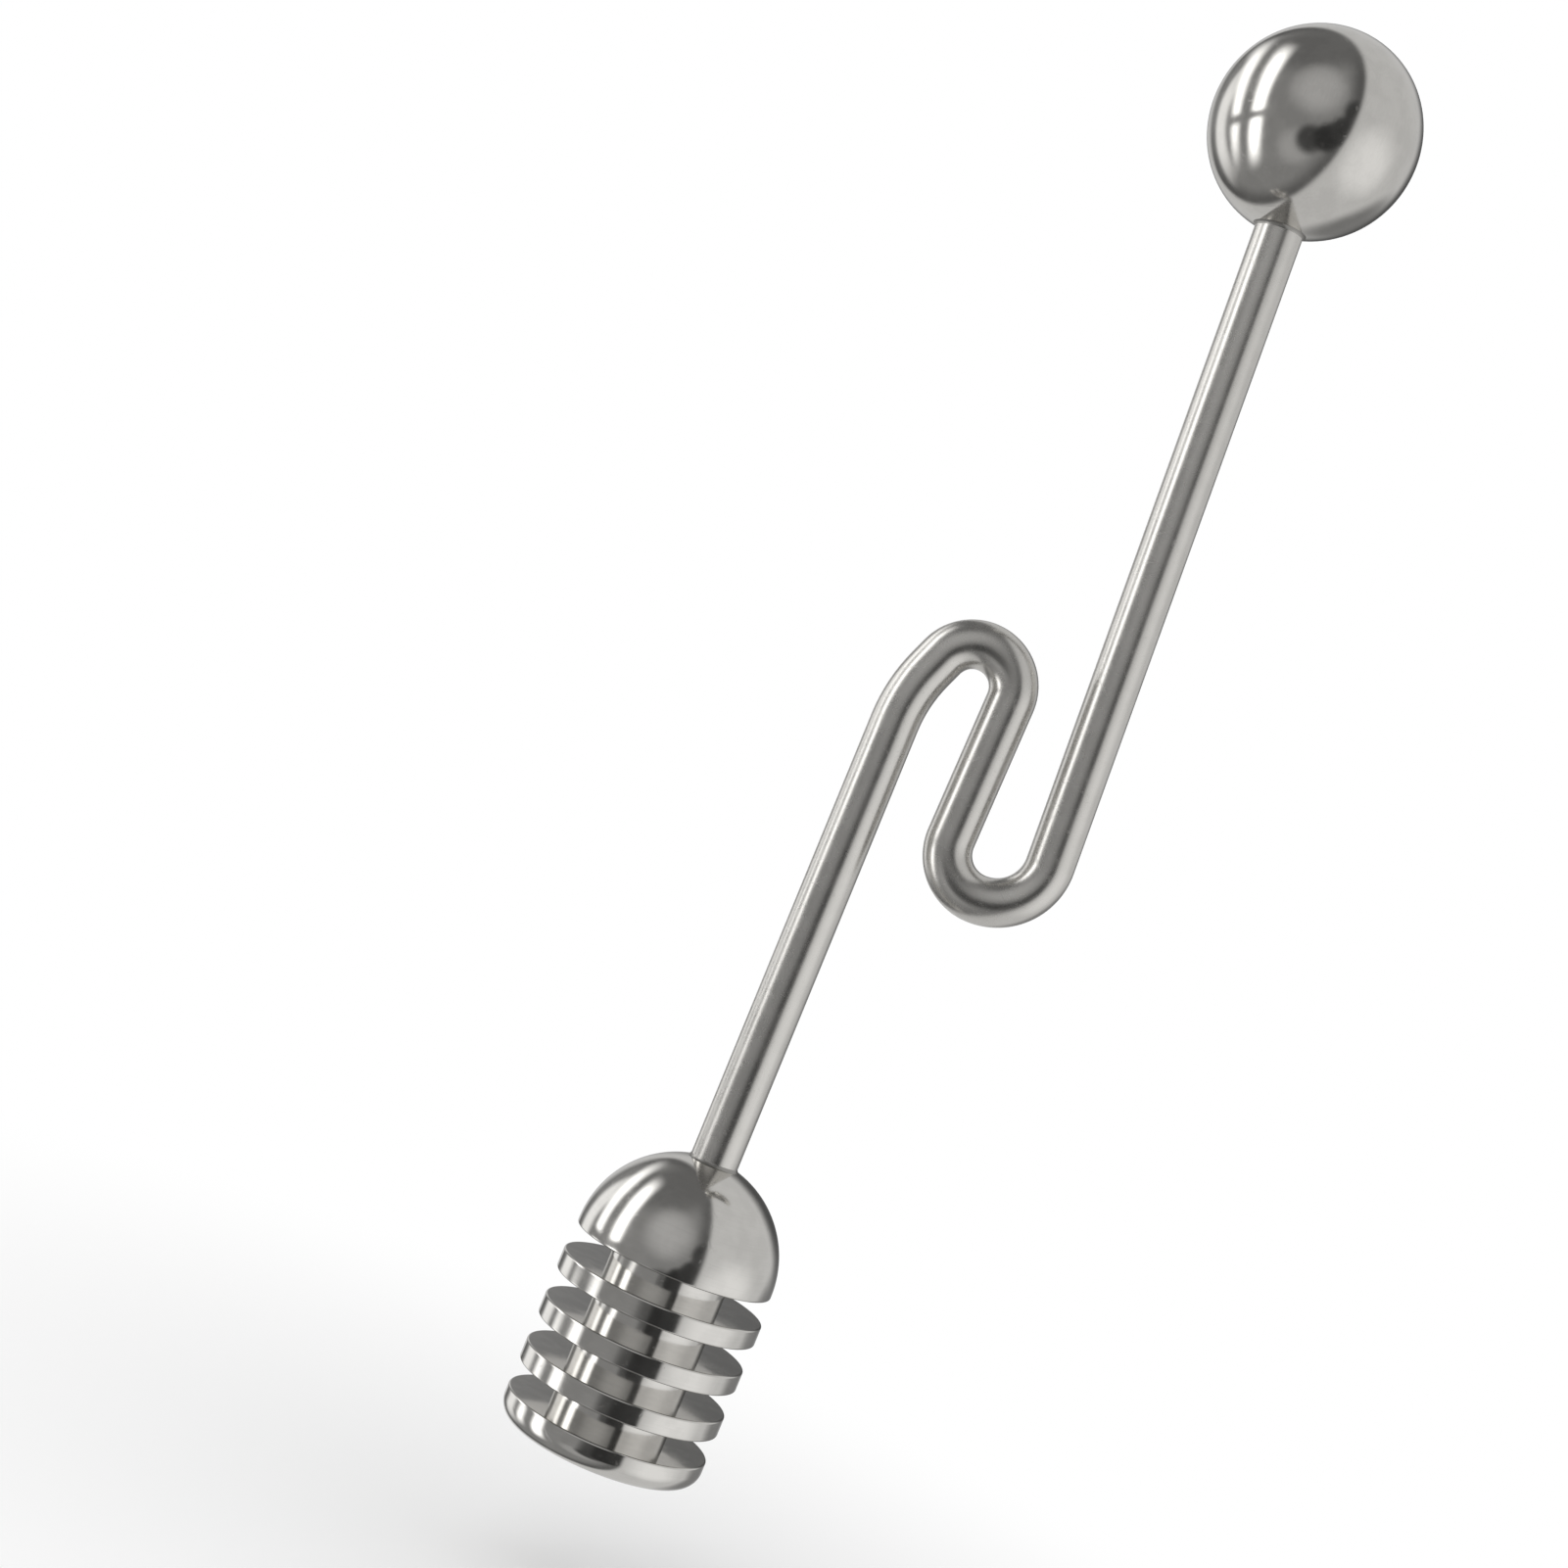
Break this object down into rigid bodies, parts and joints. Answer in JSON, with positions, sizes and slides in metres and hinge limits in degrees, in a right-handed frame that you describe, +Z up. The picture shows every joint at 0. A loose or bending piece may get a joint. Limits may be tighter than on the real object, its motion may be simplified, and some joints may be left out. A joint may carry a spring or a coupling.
{
  "type": "honey dipper",
  "caption": "Polished steel honey dipper: domed, grooved head, round rod bent into a hook that hangs on the rim of a pot or jar, and a hollow ball knob.",
  "frame": {"origin": "saddle of the rim hook: the highest point of the gap that a rim fills, on the rod's surface in its plane of symmetry", "axes": "+Z up along the lower rod, from the head towards the knob; the bent rod lies in XZ, with the handle on the +X side of the head"},
  "size_m": [0.0379, 0.0214, 0.1605],
  "materials": {
    "rod_steel": "bright drawn and polished, with faint drawing lines along the rod",
    "head_steel": "turned and polished, with faint turning rings",
    "knob_steel": "mirror polished",
    "weld_steel": "polished weld metal"
  },
  "bodies": {
    "root": {"handle_rod": "rod_steel", "dipper_head": "head_steel", "head_weld": "weld_steel", "knob_lower_shell": "knob_steel", "knob_upper_shell": "knob_steel", "knob_seam_weld": "knob_steel", "knob_weld": "weld_steel"}
  },
  "joints": []
}
